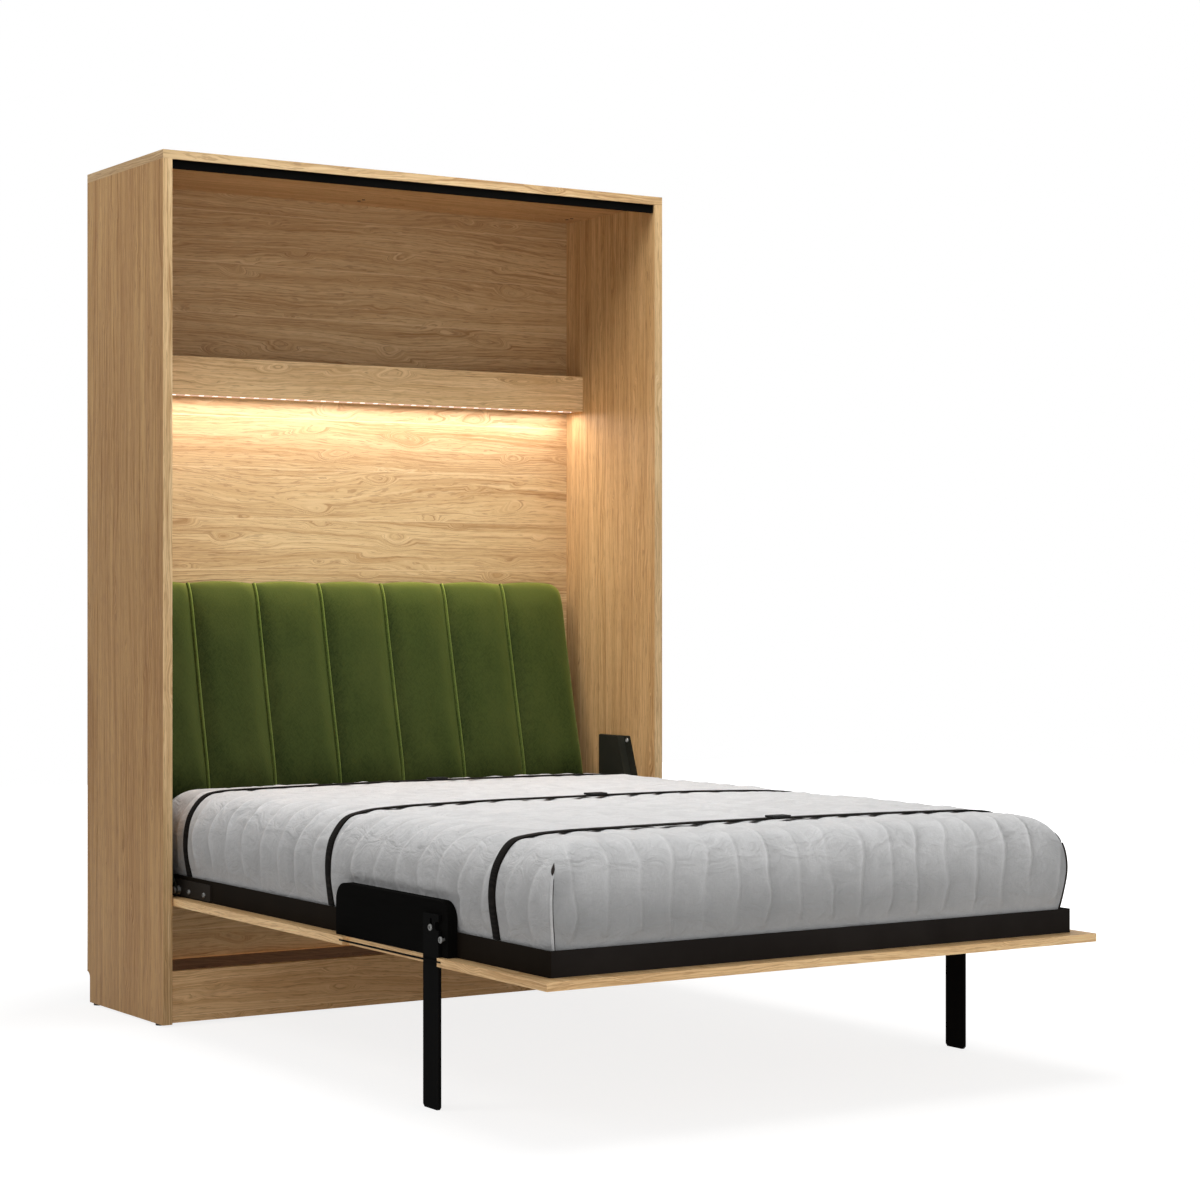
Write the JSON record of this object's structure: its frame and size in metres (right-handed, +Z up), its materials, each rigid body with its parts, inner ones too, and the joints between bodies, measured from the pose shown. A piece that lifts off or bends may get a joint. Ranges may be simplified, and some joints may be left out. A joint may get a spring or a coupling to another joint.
{
  "type": "wall bed",
  "caption": "Wall bed folded down from an open oak cabinet with a channelled headboard and a lit book shelf; strapped mattress on a steel frame with folding legs.",
  "frame": {"origin": "on the floor under the middle of the whole object with the bed down", "axes": "+X to the right seen from the foot of the bed, +Y towards the wall, +Z up; the foot of the bed points along -Y"},
  "size_m": [1.486, 2.236, 2.165],
  "materials": {
    "oak": "matt oak veneer",
    "plain_wood": "sanded, unvarnished",
    "black_steel": "satin black powder coat",
    "black_board": "matt black laminate",
    "bright_steel": "zinc plated",
    "chrome_rod": "polished",
    "black_plastic": "fine matt",
    "aluminium": "anodised",
    "light_diffuser": "milky, lit from inside",
    "green_velvet": "short pile velvet",
    "mattress_fabric": "matt knitted cover",
    "black_webbing": "woven elastic"
  },
  "bodies": {
    "cabinet": {"side_panel_left": "oak", "side_panel_right": "oak", "top_panel": "oak", "back_panel": "oak", "plinth": "oak", "rear_bottom_rail": "oak", "top_stop_strip": "black_plastic", "floor_glides": "black_plastic", "cam_caps": "black_plastic", "shelf_fascia": "oak", "shelf_board": "oak", "light_channel": "aluminium", "light_strip": "light_diffuser", "light_driver": "black_plastic", "headboard_cushion": "green_velvet", "headboard_board": "plain_wood", "headboard_wedge_left": "plain_wood", "headboard_wedge_right": "plain_wood", "lift_bracket_left": "black_steel", "lift_bracket_right": "black_steel", "bracket_screws": "bright_steel", "pivot_pin_left": "bright_steel", "pivot_pin_right": "bright_steel", "spring_anchor_left": "bright_steel", "spring_anchor_right": "bright_steel"},
    "bed": {"bed_panel": "oak", "slot_strip_left": "black_steel", "slot_strip_right": "black_steel", "side_rail_left": "black_steel", "side_rail_right": "black_steel", "head_rail": "black_steel", "foot_rail": "black_steel", "centre_beam": "black_steel", "slats": "plain_wood", "slat_caps": "black_plastic", "mattress": "mattress_fabric", "strap_head": "black_webbing", "strap_middle": "black_webbing", "strap_foot": "black_webbing", "buckles": "black_plastic", "guard_board_left": "black_board", "guard_board_right": "black_board", "leg_bolts_left": "bright_steel", "leg_bolts_right": "bright_steel", "hinge_arm_left": "black_steel", "hinge_arm_right": "black_steel", "arm_bolts": "bright_steel"},
    "leg_left": {"leg_left": "black_steel"},
    "leg_right": {"leg_right": "black_steel"},
    "gas_cylinder_left": {"gas_cylinder_left": "black_steel"},
    "gas_cylinder_right": {"gas_cylinder_right": "black_steel"},
    "gas_rod_left": {"gas_rod_left": "chrome_rod"},
    "gas_rod_right": {"gas_rod_right": "chrome_rod"}
  },
  "joints": [
    {"name": "bed_fold", "type": "hinge", "parent": "cabinet", "child": "bed", "pos_m": [0, 0.668, 0.333], "axis": [-1, 0, 0], "range_deg": [0, 90]},
    {"name": "leg_left_fold", "type": "hinge", "parent": "bed", "child": "leg_left", "pos_m": [-0.706, -0.652, 0.3755], "axis": [1, 0, 0], "range_deg": [0, 90]},
    {"name": "leg_right_fold", "type": "hinge", "parent": "bed", "child": "leg_right", "pos_m": [0.706, -0.652, 0.3755], "axis": [1, 0, 0], "range_deg": [0, 90]},
    {"name": "spring_swing_left", "type": "hinge", "parent": "cabinet", "child": "gas_cylinder_left", "pos_m": [-0.706, 0.833, 0.64], "axis": [-1, 0, 0], "range_deg": [0, 7.05]},
    {"name": "spring_swing_right", "type": "hinge", "parent": "cabinet", "child": "gas_cylinder_right", "pos_m": [0.706, 0.833, 0.64], "axis": [-1, 0, 0], "range_deg": [0, 7.05]},
    {"name": "spring_stroke_left", "type": "slide", "parent": "gas_cylinder_left", "child": "gas_rod_left", "axis": [0, -0.2813, -0.9596], "range_m": [0, 0.0965]},
    {"name": "spring_stroke_right", "type": "slide", "parent": "gas_cylinder_right", "child": "gas_rod_right", "axis": [0, -0.2813, -0.9596], "range_m": [0, 0.0965]}
  ],
  "couplings": [
    {"joint": "spring_swing_left", "follows": "bed_fold", "ratio": 0.078026},
    {"joint": "spring_swing_right", "follows": "bed_fold", "ratio": 0.078026},
    {"joint": "spring_stroke_left", "follows": "bed_fold", "m_per_rad": 0.061237},
    {"joint": "spring_stroke_right", "follows": "bed_fold", "m_per_rad": 0.061237}
  ]
}
